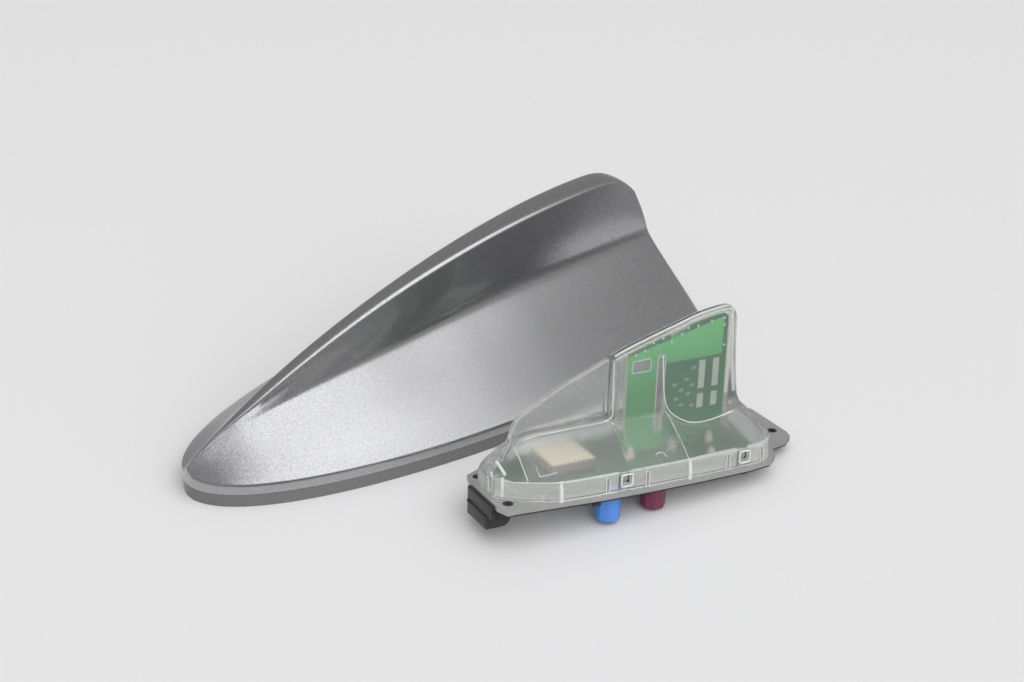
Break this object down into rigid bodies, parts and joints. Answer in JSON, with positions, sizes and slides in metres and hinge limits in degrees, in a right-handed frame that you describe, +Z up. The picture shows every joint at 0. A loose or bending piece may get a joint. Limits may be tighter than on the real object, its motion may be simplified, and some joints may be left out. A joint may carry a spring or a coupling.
{
  "type": "vehicle roof antenna",
  "caption": "Shark-fin roof antenna in two parts: a metallic grey fin cover and, beside it, the antenna unit with its clear inner cover, circuit boards and keyed coaxial connectors.",
  "frame": {"origin": "centre of the footprint of both parts, on the floor they lie on", "axes": "+X along the painted cover from its nose to its tail, +Y from the antenna unit towards the painted cover, +Z up"},
  "size_m": [0.1915, 0.1503, 0.0579],
  "materials": {
    "paint": "metallic grey lacquer with a clear coat",
    "clear_plastic": "clear moulded plastic, slightly milky",
    "plate": "dull grey cast plate",
    "rubber": "matte",
    "black_plastic": "matte",
    "board": "satin solder mask",
    "ceramic": "matte fired ceramic",
    "electrode": "satin printed layer",
    "solder": "satin tinned",
    "chip": "matte",
    "blue_plastic": "satin",
    "red_plastic": "satin",
    "contact_metal": "satin plated",
    "insulator": "satin"
  },
  "bodies": {
    "root": {"fin_cover": "paint", "clear_cover": "clear_plastic", "base_plate": "plate", "seal_frame": "rubber", "front_hook": "black_plastic", "main_board": "board", "fin_board": "board", "patch_pad": "rubber", "gps_patch": "ceramic", "patch_electrode": "electrode", "fin_bars": "solder", "fin_chips": "chip", "solder_joints": "solder", "blue_housing": "blue_plastic", "blue_sleeve": "contact_metal", "blue_insulator": "insulator", "blue_pin": "contact_metal", "red_housing": "red_plastic", "red_sleeve": "contact_metal", "red_insulator": "insulator", "red_pin": "contact_metal"}
  },
  "joints": []
}
